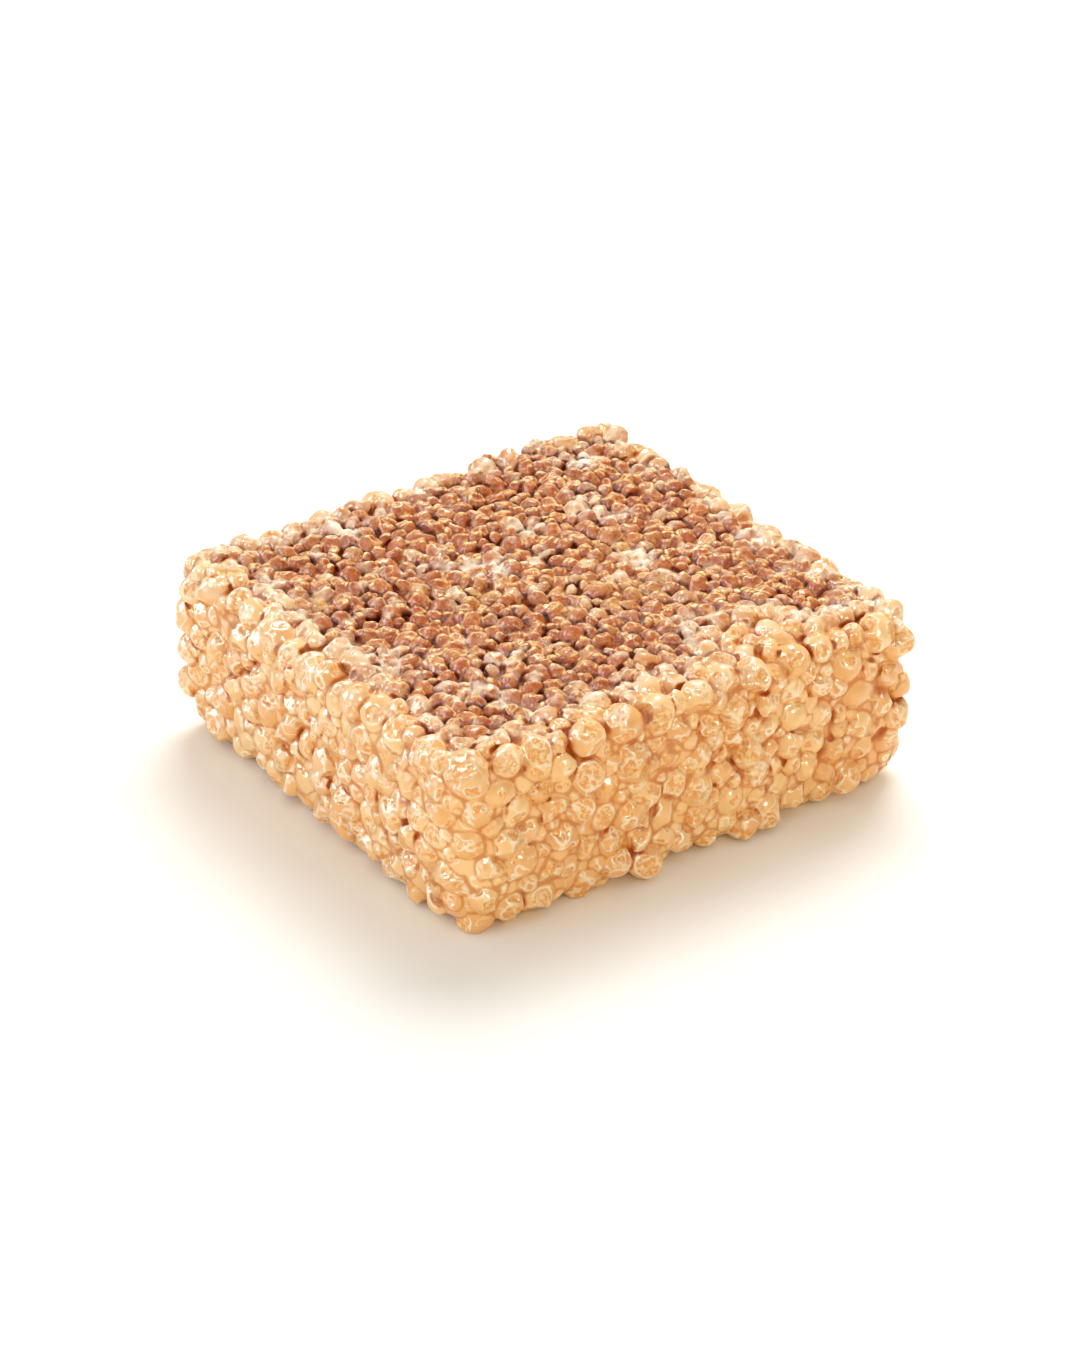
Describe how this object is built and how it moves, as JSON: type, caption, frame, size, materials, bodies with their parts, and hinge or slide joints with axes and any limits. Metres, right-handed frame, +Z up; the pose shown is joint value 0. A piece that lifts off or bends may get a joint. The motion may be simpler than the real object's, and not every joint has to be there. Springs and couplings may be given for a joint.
{
  "type": "protein puff bar",
  "caption": "Square pressed bar of round puffed crisps bound by a pale syrup coat, with a finer brown cinnamon crumb over its top.",
  "frame": {"origin": "middle of the underside, on the surface that the bar rests on", "axes": "+Z up through the bar's height, +X along its longer side; the walls that the picture shows face -X and -Y"},
  "size_m": [0.074, 0.0712, 0.0265],
  "materials": {
    "syrup_coated_puffs": "pale peach syrup coat, glossy and slightly see-through, over puffed crisps; the crumbs on top are cinnamon brown"
  },
  "bodies": {
    "root": {"puff_bar": "syrup_coated_puffs"}
  },
  "joints": []
}
